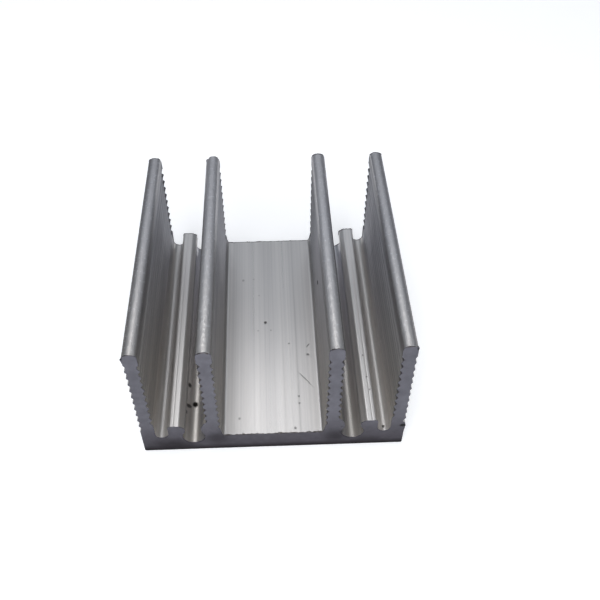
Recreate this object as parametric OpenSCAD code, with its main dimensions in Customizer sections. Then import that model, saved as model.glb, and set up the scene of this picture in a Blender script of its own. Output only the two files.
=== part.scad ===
// Extruded heat sink for a flat-backed power transistor, with serrated fins.
// One piece, sawn from an aluminium extrusion. It lies on its base with the fins
// up: X is the width, Y the direction of extrusion and Z the height. The origin is
// the middle of the underside. All lengths are in millimetres.

/* [Overall size] */
// Width over the two outer fins
body_w = 42; // [41:0.1:60]
// Length that the extrusion is sawn to
body_l = 45; // [10:1:150]
// Height from the underside to the tips of the fins
body_h = 25; // [14:0.1:60]

/* [Base] */
// Thickness of the base under the device channel
base_t = 3.9; // [2.8:0.1:8]
// Radius on the two long edges of the underside
base_edge_r = 0.3; // [0.1:0.05:1]

/* [Device channel] */
// Clear width between the two inner fins, above their feet
channel_w = 16.6; // [10:0.1:17.4]
// How far the foot of each inner fin spreads into the channel
foot_spread = 0.35; // [0.1:0.05:1]
// Height of that foot above the channel floor
foot_h = 2.1; // [0.5:0.1:4]

/* [Fins] */
// Thickness of each inner fin over its crests
inner_fin_t = 2.35; // [1.4:0.05:3]
// Thickness of each outer fin over its crests
outer_fin_t = 2.25; // [1.4:0.05:3]
// Radius on both corners of every fin's tip
tip_r = 0.9; // [0.1:0.05:1.5]

/* [Serrations] */
// Radius of each scallop that runs along a fin
scallop_r = 0.75; // [0.5:0.05:1]
// Depth of each scallop below the crests
scallop_d = 0.32; // [0.1:0.02:0.5]
// Distance from one scallop to the next, up the fin
scallop_pitch = 1.555; // [1.3:0.005:3]
// Height from the centre of the top scallop to the tip
tip_plain = 3.1; // [1.5:0.1:6]
// Plain height above the channel floor, on faces that look away from a pin slot
foot_plain = 2.4; // [1:0.1:6]
// Plain height above the channel floor, on faces that look onto a pin slot or trough
slot_side_plain = 3.9; // [1:0.1:8]

/* [Pin slots] */
// Distance between the centres of the two pin slots
slot_pitch = 25.4; // [24.2:0.1:26]
// Radius of the round slot that grips a solder pin
slot_r = 1.78; // [1.4:0.02:2]
// Width of the slot's open mouth
mouth_w = 2.6; // [1:0.1:3]
// How far the slot's centre lies below the channel floor
slot_drop = 0.15; // [0:0.05:1]
// How far the flare above the slot's inner lip thickens the fin's foot
lip_spread = 0.7; // [0.2:0.05:1]
// Height of that lip above the channel floor
lip_h = 2.1; // [1.6:0.1:2.6]
// Height over which the fin flares out to the lip
lip_flare_h = 3; // [1:0.1:6]

/* [Ribs] */
// Height of each short rib above the channel floor
rib_h = 2.75; // [2.2:0.05:6]
// Width of the rib's flat top, up to its outer face
rib_top_w = 1.85; // [1:0.05:2.4]
// Width of the lead-in that slopes from the rib's top to the slot's mouth
lead_w = 0.85; // [0.2:0.05:1.2]
// Drop of that lead-in
lead_h = 0.6; // [0.1:0.05:0.8]
// Radius on the rib's outer top edge
rib_edge_r = 0.4; // [0.1:0.05:0.8]

/* [Troughs] */
// Radius in the bottom corners of the trough between a rib and its outer fin
trough_r = 1; // [0.2:0.05:1]
// How far the bottom of the trough lies below the channel floor
trough_drop = 0.25; // [0:0.05:1.5]

/* [Hidden] */
$fn = 64;

// Play that lets a cutter pass clean through the face it cuts
over = 0.5;

// Faces and centre lines of the right half, as distances from the middle plane
channel_face = channel_w / 2;
inner_fin_face = channel_face + inner_fin_t;
slot_x = slot_pitch / 2;
mouth_in = slot_x - mouth_w / 2;
mouth_out = slot_x + mouth_w / 2;
rib_face = mouth_out + lead_w + rib_top_w;
outer_face = body_w / 2;
outer_fin_face = outer_face - outer_fin_t;

// Heights above the underside
slot_z = base_t - slot_drop;
lip_z = base_t + lip_h;
rib_z = base_t + rib_h;
trough_z = base_t - trough_drop;

// The flare can't reach past the lip, nor the trough's corners past its middle
lip_flare_w = min(lip_spread, mouth_in - inner_fin_face);
trough_corner_r = min(trough_r, (outer_fin_face - rib_face) / 2);

// Heights of the scallops' centres on a face that is plain up to plain_h above the
// channel floor. They are set out downwards from the tip, so they line up on all fins.
function scallop_heights(plain_h) =
    [for (z = [body_h - tip_plain : -scallop_pitch : base_t + plain_h]) z];

// Square-cornered strip from (x0, z0) to (x1, z1)
module strip(x0, x1, z0, z1) {
    translate([x0, z0])
        square([x1 - x0, z1 - z0]);
}

// What a round of radius r takes off an outside corner at the origin, whose
// material lies towards -X and -Z
module corner_waste(r) {
    difference() {
        translate([-r, -r])
            square(r + over);
        translate([-r, -r])
            circle(r);
    }
}

// Concave foot that grows out of a wall at x = 0 towards +X. It is spread wide at
// z = 0 and runs out, tangent to the wall, at z = h.
module flare(spread, h) {
    arc_r = (h * h + spread * spread) / (2 * spread);
    difference() {
        translate([-over, 0])
            square([spread + over, h]);
        translate([arc_r, h])
            circle(arc_r, $fn = 180);
    }
}

// Upright wall from x0 to x1, with both corners of its tip rounded
module fin(x0, x1) {
    difference() {
        strip(x0, x1, 0, body_h);
        translate([x1, body_h])
            corner_waste(tip_r);
        translate([x0, body_h])
            mirror([1, 0])
                corner_waste(tip_r);
    }
}

// Scallops cut into a wall's face at x. The material lies towards -X when side is
// 1, and towards +X when it is -1.
module scallops(x, side, plain_h) {
    for (z = scallop_heights(plain_h))
        translate([x + side * (scallop_r - scallop_d), z])
            circle(scallop_r);
}

module inner_fin() {
    difference() {
        union() {
            fin(channel_face, inner_fin_face);
            // Foot on the channel side
            translate([channel_face, base_t])
                mirror([1, 0])
                    flare(foot_spread, foot_h);
            // Lip on the slot side, out to the edge of the mouth, and its flare
            strip(channel_face, mouth_in, 0, lip_z);
            translate([inner_fin_face, lip_z])
                flare(lip_flare_w, lip_flare_h);
        }
        scallops(channel_face, -1, foot_plain);
        scallops(inner_fin_face, 1, slot_side_plain);
    }
}

module outer_fin() {
    difference() {
        fin(outer_fin_face, outer_face);
        scallops(outer_fin_face, -1, slot_side_plain);
        scallops(outer_face, 1, foot_plain);
    }
}

// Short rib that closes the outer side of the pin slot
module rib() {
    difference() {
        polygon([
            [slot_x, 0],
            [rib_face, 0],
            [rib_face, rib_z],
            [mouth_out + lead_w, rib_z],
            [mouth_out, rib_z - lead_h],
            [slot_x, rib_z - lead_h],
        ]);
        translate([rib_face, rib_z])
            corner_waste(rib_edge_r);
    }
}

// Round slot, open at the top, that takes a solder pin from either end
module pin_slot() {
    translate([slot_x, slot_z])
        circle(slot_r);
    strip(mouth_in, mouth_out, slot_z, lip_z + over);
}

// Metal left in the bottom corners of the trough, up to where its walls are plain
module trough_seat() {
    strip(rib_face, outer_fin_face, 0, trough_z + trough_corner_r);
}

// Round-bottomed trough between the rib and the outer fin
module trough() {
    r = trough_corner_r;
    for (x = [rib_face + r, outer_fin_face - r])
        translate([x, trough_z + r])
            circle(r);
    strip(rib_face + r, outer_fin_face - r, trough_z, trough_z + 2 * r);
    strip(rib_face, outer_fin_face, trough_z + r, rib_z + over);
}

// Right half of the profile, from the middle plane to the outer face
module half_profile() {
    difference() {
        union() {
            strip(0, outer_face, 0, base_t);
            inner_fin();
            rib();
            trough_seat();
            outer_fin();
        }
        pin_slot();
        trough();
        // Rounded long edge of the underside
        translate([outer_face, 0])
            mirror([0, 1])
                corner_waste(base_edge_r);
    }
}

// The whole heat sink: both halves of the profile, carried along Y
module heat_sink() {
    color([0.72, 0.72, 0.73])
        rotate([90, 0, 0])
            linear_extrude(height = body_l, center = true)
                union() {
                    half_profile();
                    mirror([1, 0])
                        half_profile();
                }
}

heat_sink();
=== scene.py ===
"""Looks of the extruded heat sink: its serrated aluminium profile, swept and dressed.

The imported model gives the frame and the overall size. The profile is worked out in
numpy as one closed outline in millimetres, carried along Y, with a fine break of the
edges at both sawn ends. Mill-finish metal, sawn metal and the marks of use are node
materials on Object coordinates, which are metres in the part's own frame.
"""

import logging
import math
from dataclasses import dataclass, field
from enum import Enum

import bpy
import numpy as np
from mathutils import Euler, Matrix, Vector


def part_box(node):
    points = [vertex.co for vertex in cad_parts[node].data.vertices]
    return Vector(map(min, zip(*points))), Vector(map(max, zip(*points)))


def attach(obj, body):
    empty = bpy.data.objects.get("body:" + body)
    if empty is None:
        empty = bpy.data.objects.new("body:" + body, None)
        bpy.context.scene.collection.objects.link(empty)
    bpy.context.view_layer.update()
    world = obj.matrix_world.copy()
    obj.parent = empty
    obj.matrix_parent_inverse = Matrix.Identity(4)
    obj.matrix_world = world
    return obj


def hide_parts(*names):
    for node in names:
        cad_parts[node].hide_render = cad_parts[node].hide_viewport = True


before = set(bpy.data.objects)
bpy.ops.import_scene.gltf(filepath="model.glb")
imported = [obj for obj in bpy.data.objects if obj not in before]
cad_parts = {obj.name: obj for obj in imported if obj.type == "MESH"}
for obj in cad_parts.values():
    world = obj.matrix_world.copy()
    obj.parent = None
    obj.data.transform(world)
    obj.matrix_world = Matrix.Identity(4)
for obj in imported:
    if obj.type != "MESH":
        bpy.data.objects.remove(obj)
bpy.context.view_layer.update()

MM = 0.001
NODE = "heat_sink"
FLOOR_LEVEL = 3.9
FRONT = -22.5
UV_MAP = "around_and_along"

Pair = tuple[float, float]
Triple = tuple[float, float, float]
Colour = tuple[float, float, float, float]
Socket = bpy.types.NodeSocket

log = logging.getLogger("heat_sink")


class Zone(Enum):
    """Which finish a face of the heat sink has, as its material's index."""

    SKIN = 0
    SAWN = 1
    BURR = 2


class Facing(Enum):
    """Which way a serrated face looks, as the sign of its outward X."""

    INWARD = -1
    OUTWARD = 1


class Stretch(Enum):
    """Which part of the section a point of the outline belongs to."""

    UNDERSIDE = 0
    OUTER_FACE = 1
    TIP = 2
    BAY_FACE = 3
    CHANNEL_FACE = 4
    TROUGH = 5
    RIB = 6
    SLOT = 7
    FLOOR = 8


SERRATED = (Stretch.OUTER_FACE, Stretch.BAY_FACE, Stretch.CHANNEL_FACE)


@dataclass(frozen=True)
class Tone:
    """How one part of the section takes the mill finish: the shade of its colour, partly painted light and
    shade, and its roughness.
    """

    shade: float
    roughness: float


# The shades are partly painted light and shade: each part is set lighter or darker for how the light falls on
# it.
TONES = {
    Stretch.UNDERSIDE: Tone(1.0, 0.34),
    Stretch.OUTER_FACE: Tone(0.8, 0.42),
    Stretch.TIP: Tone(0.98, 0.31),
    Stretch.BAY_FACE: Tone(0.91, 0.47),
    Stretch.CHANNEL_FACE: Tone(0.98, 0.46),
    Stretch.TROUGH: Tone(1.05, 0.37),
    Stretch.RIB: Tone(1.12, 0.31),
    Stretch.SLOT: Tone(1.08, 0.32),
    Stretch.FLOOR: Tone(1.03, 0.3),
}


@dataclass(frozen=True)
class Dent:
    """A local push of the surface: its middle, how far it reaches and the push, in millimetres."""

    place: Triple
    reach: float
    push: Triple

    def moved(self, points: np.ndarray) -> np.ndarray:
        """How far it moves each point.

        The push is times (1 - squared share of the reach) squared, and nothing beyond
        the reach.

        Args:
            points: Positions, with (x, y, z) as the last axis.

        Returns:
            The moves, in the same shape.
        """
        share = ((points - np.array(self.place)) ** 2).sum(axis=-1) / self.reach**2
        return np.clip(1 - share, 0, None)[..., None] ** 2 * np.array(self.push)


DENTS = (
    Dent((-21.0, FRONT, 23.9), 0.45, (-0.22, 0, 0.05)),
    Dent((20.9, FRONT, 24.6), 0.6, (0.14, 0, 0.08)),
    Dent((21.0, FRONT, 6.25), 0.6, (-0.28, 0, 0)),
    Dent((21.0, FRONT, 4.7), 1.0, (0.2, 0, 0)),
    Dent((-10.5, -FRONT, 24.9), 0.7, (0.12, 0, -0.22)),
)


@dataclass(frozen=True)
class Run:
    """A run of points of the outline, all on one part of the section."""

    stretch: Stretch
    points: np.ndarray


def arc(centre_x: float, centre_z: float, radius: float, start: float, stop: float, count: int) -> np.ndarray:
    """Points on a circle, evenly spaced in angle.

    A point is the centre plus the radius times (cosine, sine) of its angle.

    Args:
        centre_x: Centre across the part.
        centre_z: Centre up the part.
        radius: Radius of the circle.
        start: First angle in degrees, from +X towards +Z.
        stop: Last angle in degrees.
        count: Number of points, ends included.

    Returns:
        An array of count rows of (x, z).
    """
    angle = np.radians(np.linspace(start, stop, count))
    return np.stack([centre_x + radius * np.cos(angle), centre_z + radius * np.sin(angle)], axis=1)


def eased(corners: list[Pair], radii: list[float], count: int = 5) -> np.ndarray:
    """A polyline whose inner corners are rounded.

    Each corner is replaced by a quadratic curve that leaves the first edge and joins
    the second one at the given distance from the corner.

    Args:
        corners: The polyline's points, as (x, z).
        radii: Distance from each inner corner at which its round starts.
        count: Number of points on each round.

    Returns:
        An array of (x, z), from the first point to the last.
    """
    points = np.array(corners)
    before, corner, after = points[:-2], points[1:-1], points[2:]
    reach = np.array(radii)[:, None]
    start = corner + (before - corner) / np.linalg.norm(before - corner, axis=1)[:, None] * reach
    stop = corner + (after - corner) / np.linalg.norm(after - corner, axis=1)[:, None] * reach
    t = np.linspace(0, 1, count)[None, :, None]
    rounds = (1 - t) ** 2 * start[:, None] + 2 * t * (1 - t) * corner[:, None] + t**2 * stop[:, None]
    return np.concatenate([points[:1], rounds.reshape(-1, 2), points[-1:]])


@dataclass(frozen=True)
class Section:
    """Cross-section of the extrusion in millimetres: X across, Z up from the underside.

    The names and values are those of the construction. The outline runs anticlockwise
    as seen looking along +Y, so the metal lies on its left.
    """

    width: float
    height: float
    base_t: float = FLOOR_LEVEL
    base_edge_r: float = 0.3
    channel_w: float = 16.6
    foot_spread: float = 0.35
    foot_h: float = 2.1
    foot_fillet: float = 0.3
    floor_points: int = 60
    inner_fin_t: float = 2.35
    outer_fin_t: float = 2.25
    tip_slopes: tuple[float, ...] = (0, 24, 48, 68, 90)
    tip_radii: tuple[float, ...] = (1.5, 1.5, 0.6, 0.8, 2.6)
    scallop_r: float = 0.75
    scallop_d: float = 0.32
    scallop_pitch: float = 1.555
    tip_plain: float = 3.1
    right_depth: float = 0.62
    foot_plain: float = 2.4
    slot_side_plain: float = 3.9
    crest_ease: float = 0.05
    slot_pitch: float = 25.4
    slot_r: float = 1.78
    mouth_w: float = 2.6
    slot_drop: float = 0.15
    lip_spread: float = 0.7
    lip_h: float = 2.1
    lip_flare_h: float = 3.0
    rib_h: float = 2.75
    rib_top_w: float = 1.85
    lead_w: float = 0.85
    lead_h: float = 0.6
    rib_edge_r: float = 0.5
    rib_ease: float = 0.26
    rib_crown: float = 0.004
    rib_line: float = 0.014
    lip_ease: float = 0.14
    trough_r: float = 1.0
    trough_drop: float = 0.25
    # Factors on each face's scallop depth, left and right: they weight the painted shade in the scallops and
    # set where the crests' beads stand.
    left_notch_shade: tuple[float, ...] = (1.0, 0.35, 0.55, 1.35)
    right_notch_shade: tuple[float, ...] = (1.0, 0.9, 1.0, 1.15)
    arc_points: int = 10
    slot_points: int = 40
    plain_gap: float = 0.9
    least_gap: float = 0.012
    seam: float = 10.0
    seam_gap: float = 2.0

    def centres(self, plain: float) -> np.ndarray:
        """Heights of the scallops' centres on a face.

        They are set out downwards from the tip at the scallop pitch.

        Args:
            plain: Height above the channel floor up to which the face is plain.

        Returns:
            The heights, from the top one down.
        """
        top = self.height - self.tip_plain
        steps = math.floor((top - self.base_t - plain) / self.scallop_pitch)
        return top - self.scallop_pitch * np.arange(steps + 1)

    def heights(self, low: float, high: float, plain: float) -> np.ndarray:
        """Sample heights up a serrated face, close together where the scallops are.

        Each scallop has samples at even angles of its arc, and each crest has a few
        more, so that its eased edges are resolved. Plain stretches are sampled evenly.

        Args:
            low: Lowest height of the face.
            high: Highest height of the face.
            plain: Height above the channel floor up to which the face is plain.

        Returns:
            The heights in rising order, with both ends.
        """
        edge = math.degrees(math.acos(1 - self.scallop_d / self.scallop_r))
        on_arc = self.scallop_r * np.sin(np.radians(np.linspace(-edge, edge, self.arc_points)))
        half = self.scallop_pitch / 2
        beside = on_arc[-1] + self.crest_ease * np.array([-0.6, 0.7, 1.6])
        local = np.concatenate([on_arc, beside, -beside, [-half * 0.999]])
        dense = (self.centres(plain)[:, None] + local[None, :]).ravel()
        even = np.linspace(low, high, max(3, int((high - low) / self.plain_gap)))
        gap = np.abs(even[:, None] - self.centres(plain)[None, :]).min(axis=1)
        z = np.sort(np.concatenate([dense, even[gap > half * 1.1]]))
        z = z[(z > low + 0.02) & (z < high - 0.02)]
        keep = np.concatenate([[True], np.diff(z) > self.least_gap])
        return np.concatenate([[low], z[keep], [high]])

    def serrated(
        self,
        crest: float,
        facing: Facing,
        low: float,
        high: float,
        plain: float,
        spread: float = 0,
        flare_h: float = 1,
    ) -> np.ndarray:
        """A wall's face with its scallops and the flare at its foot.

        The face stands at the crest plus the flare, whose offset is that of a circle
        tangent to the wall at the flare's top. A scallop lies the scallop depth under
        the crest at its centre and follows its circle. The face is the lower of the
        two, blended over the ease with half of (sum minus root of squared difference
        plus squared ease).

        Args:
            crest: Distance of the crests from the middle plane.
            facing: Which way the face looks.
            low: Lowest height of the face.
            high: Highest height of the face.
            plain: Height above the channel floor up to which the face is plain.
            spread: How far the flare stands out of the wall at the bottom.
            flare_h: Height of the flare.

        Returns:
            Rows of (x, z) in rising order.
        """
        z = self.heights(low, high, plain)
        if spread:
            flare_r = (flare_h**2 + spread**2) / (2 * spread)
            rise = np.clip(low + flare_h - z, 0, None)
            flare = flare_r - np.sqrt(flare_r**2 - rise**2)
        else:
            flare = np.zeros_like(z)
        off = np.abs(z[:, None] - self.centres(plain)[None, :]).min(axis=1)
        chord = np.sqrt(np.clip(self.scallop_r**2 - off**2, 0, None))
        scallop = (self.scallop_r - self.scallop_d) - chord
        face = (flare + scallop - np.sqrt((flare - scallop) ** 2 + self.crest_ease**2)) / 2
        return np.stack([crest + facing.value * face, z], axis=1)

    def arch(self, thickness: float) -> np.ndarray:
        """Half of a fin's round tip, from its top down to its side.

        The radius of curvature is given at a few slopes. Each step sideways is the
        radius times the cosine of the slope and each drop the radius times its sine,
        summed by the trapezoid rule, and all is scaled to span half of the fin.

        Args:
            thickness: Thickness of the fin.

        Returns:
            Rows of (distance from the fin's middle, drop from its top).
        """
        slope = np.linspace(0, 90, 22)
        radius = np.interp(slope, self.tip_slopes, self.tip_radii)
        turn = np.radians(slope)
        step = np.stack([radius * np.cos(turn), radius * np.sin(turn)], axis=1)
        way = np.cumsum((step[1:] + step[:-1]) / 2, axis=0) * turn[1]
        way = np.concatenate([[[0.0, 0.0]], way])
        return way * (thickness / 2 / way[-1, 0])

    def tip(self, inner: float, outer: float) -> np.ndarray:
        """The round tip of a fin, over the top from its outer face to its inner one.

        Args:
            inner: Distance of the fin's inner face from the middle plane.
            outer: Distance of its outer face.

        Returns:
            Rows of (x, z), without the two ends.
        """
        arch = self.arch(outer - inner) * np.array([1, -1])
        top = np.array([(inner + outer) / 2, self.height])
        return np.concatenate([(top + arch)[-2::-1], (top + arch * np.array([-1, 1]))[1:-1]])

    def rib_top(self, outer: float, inner: float, level: float) -> np.ndarray:
        """The top of a rib, slightly crowned, with one shallow die line in its outer third.

        The crown is a parabola over the top's width, and the line a bell-shaped dip.

        Args:
            outer: Distance of its outer edge from the middle plane.
            inner: Distance of its inner edge.
            level: Height of both edges.

        Returns:
            Rows of (x, z) from the outer edge to the inner one, without the two ends.
        """
        share = np.linspace(-1, 1, 25)[1:-1]
        crown = self.rib_crown * (1 - share**2)
        line = self.rib_line * np.exp(-(((share + 0.2) / 0.15) ** 2))
        x = (outer + inner) / 2 - share * (outer - inner) / 2
        return np.stack([x, level + crown - line], axis=1)

    def half(self) -> list[Run]:
        """The right half of the outline, from the middle of the underside to the middle of the floor.

        The runs follow one another: underside, outer face, tip, inner face, trough,
        rib, slot, lip, inner fin, its tip, its channel face, foot and floor.

        Returns:
            The runs in order.
        """
        outer_face = self.width / 2
        outer_fin_face = outer_face - self.outer_fin_t
        channel_face = self.channel_w / 2
        inner_fin_face = channel_face + self.inner_fin_t
        slot_x = self.slot_pitch / 2
        mouth_in, mouth_out = slot_x - self.mouth_w / 2, slot_x + self.mouth_w / 2
        rib_face = mouth_out + self.lead_w + self.rib_top_w
        slot_z = self.base_t - self.slot_drop
        lip_z, rib_z = self.base_t + self.lip_h, self.base_t + self.rib_h
        trough_z = self.base_t - self.trough_drop + self.trough_r
        outer_shoulder = self.height - self.arch(self.outer_fin_t)[-1, 1]
        inner_shoulder = self.height - self.arch(self.inner_fin_t)[-1, 1]
        mouth_angle = math.degrees(math.acos(self.mouth_w / 2 / self.slot_r))
        mouth_z = slot_z + self.slot_r * math.sin(math.radians(mouth_angle))
        seam = math.radians(mouth_angle - self.seam)
        seam_x, seam_z = self.slot_r * math.cos(seam), slot_z + self.slot_r * math.sin(seam)
        slot_start = mouth_angle - self.seam - self.seam_gap
        ease, fillet = self.lip_ease, self.foot_fillet

        underside = np.stack([np.linspace(0, outer_face - self.base_edge_r, 12), np.zeros(12)], axis=1)
        edge = arc(outer_face - self.base_edge_r, self.base_edge_r, self.base_edge_r, -90, 0, 6)
        outer = self.serrated(outer_face, Facing.OUTWARD, self.base_edge_r, outer_shoulder, self.foot_plain)
        outer_back = self.serrated(
            outer_fin_face, Facing.INWARD, trough_z, outer_shoulder, self.slot_side_plain
        )
        trough = np.concatenate([
            arc(outer_fin_face - self.trough_r, trough_z, self.trough_r, 0, -90, self.arc_points),
            arc(rib_face + self.trough_r, trough_z, self.trough_r, -90, -180, self.arc_points),
        ])
        rib = np.concatenate([
            arc(rib_face - self.rib_edge_r, rib_z - self.rib_edge_r, self.rib_edge_r, 0, 90, 7),
            self.rib_top(rib_face - self.rib_edge_r, mouth_out + self.lead_w + self.rib_ease + 0.01, rib_z),
            eased(
                [
                    (mouth_out + self.lead_w + self.rib_ease + 0.005, rib_z),
                    (mouth_out + self.lead_w, rib_z),
                    (mouth_out, rib_z - self.lead_h),
                    (mouth_out, mouth_z),
                    (slot_x + seam_x, seam_z),
                ],
                [self.rib_ease, ease, ease],
            ),
        ])
        slot = arc(slot_x, slot_z, self.slot_r, slot_start, -180 - slot_start, self.slot_points)
        lip = eased(
            [
                (slot_x - seam_x, seam_z),
                (mouth_in, mouth_z),
                (mouth_in, lip_z),
                (inner_fin_face + self.lip_spread - 0.07, lip_z + 0.3),
            ],
            [ease, ease],
        )[:-1]
        inner_back = self.serrated(
            inner_fin_face,
            Facing.OUTWARD,
            lip_z,
            inner_shoulder,
            self.slot_side_plain,
            self.lip_spread,
            self.lip_flare_h,
        )
        inner_back = inner_back[inner_back[:, 1] > lip_z + ease * 1.3]
        channel = self.serrated(
            channel_face,
            Facing.INWARD,
            self.base_t,
            inner_shoulder,
            self.foot_plain,
            self.foot_spread,
            self.foot_h,
        )
        foot = eased(
            [
                (channel_face - self.foot_spread * 0.72, self.base_t + fillet),
                (channel_face - self.foot_spread, self.base_t),
                (channel_face - self.foot_spread - fillet * 2, self.base_t),
            ],
            [fillet * 0.9],
        )
        channel = channel[channel[:, 1] > self.base_t + fillet * 1.4]
        across = np.linspace(foot[-1, 0], 0, self.floor_points)
        floor = np.stack([across, np.full_like(across, self.base_t)], axis=1)
        return [
            Run(Stretch.UNDERSIDE, underside),
            Run(Stretch.OUTER_FACE, edge[1:]),
            Run(Stretch.OUTER_FACE, outer[1:]),
            Run(Stretch.TIP, self.tip(outer_fin_face, outer_face)),
            Run(Stretch.BAY_FACE, outer_back[::-1]),
            Run(Stretch.TROUGH, trough[1:]),
            Run(Stretch.RIB, rib),
            Run(Stretch.SLOT, slot),
            Run(Stretch.SLOT, lip),
            Run(Stretch.BAY_FACE, inner_back),
            Run(Stretch.TIP, self.tip(channel_face, inner_fin_face)),
            Run(Stretch.CHANNEL_FACE, channel[::-1]),
            Run(Stretch.FLOOR, foot),
            Run(Stretch.FLOOR, floor[1:]),
        ]

    def outline(self) -> tuple[np.ndarray, np.ndarray]:
        """The closed outline: the right half, then its mirror image in reverse order.

        The outermost face of the right half is worn, so its scallops are shallower.

        Returns:
            The points as rows of (x, z), and the value of each point's stretch.
        """
        runs = self.half()
        points = np.concatenate([run.points for run in runs])
        stretch = np.concatenate([np.full(len(run.points), run.stretch.value) for run in runs])
        step = np.linalg.norm(np.diff(points, axis=0), axis=1)
        apart = np.concatenate([[True], step > 0.004])
        points, stretch = points[apart], stretch[apart]
        mirrored = points[-2:0:-1] * np.array([-1.0, 1.0])
        shallow = (stretch == Stretch.OUTER_FACE.value) & (points[:, 1] > self.base_t)
        outer_face = self.width / 2
        points[shallow, 0] = outer_face - (outer_face - points[shallow, 0]) * self.right_depth
        return np.concatenate([points, mirrored]), np.concatenate([stretch, stretch[-2:0:-1]])

    def groove(self, points: np.ndarray, stretch: np.ndarray) -> np.ndarray:
        """How deep each point lies in a scallop, from 0 on the crests to 1 at the bottom.

        It is the distance of the point from its fin's nearer face, over the scallop
        depth, and 0 away from the fins' faces. Each face has its own factor on either
        half, which weights the painted shade in its scallops.

        Args:
            points: Rows of (x, z).
            stretch: The value of each point's stretch.

        Returns:
            One share per point.
        """
        outer_face, channel_face = self.width / 2, self.channel_w / 2
        faces = np.array([
            outer_face, outer_face - self.outer_fin_t, channel_face, channel_face + self.inner_fin_t,
        ])
        inside = np.array([-1, 1, 1, -1])
        depth = (np.abs(points[:, 0])[:, None] - faces) * inside
        nearest = np.abs(depth).argmin(axis=1)
        picked = depth[np.arange(len(points)), nearest]
        on_fin = np.isin(stretch, [kind.value for kind in SERRATED])
        left, right = np.array(self.left_notch_shade)[nearest], np.array(self.right_notch_shade)[nearest]
        # Each face's factor on the painted shade in its scallops
        notch_shade = np.where(points[:, 0] < 0, left, right)
        return np.where(on_fin, np.clip(picked / self.scallop_d * notch_shade, 0, 1), 0)


@dataclass(frozen=True)
class Scatter:
    """How random shares spread along an edge: middle, swing, limits, and how many points are smoothed."""

    middle: float
    swing: float
    low: float
    high: float
    span: int


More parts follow.
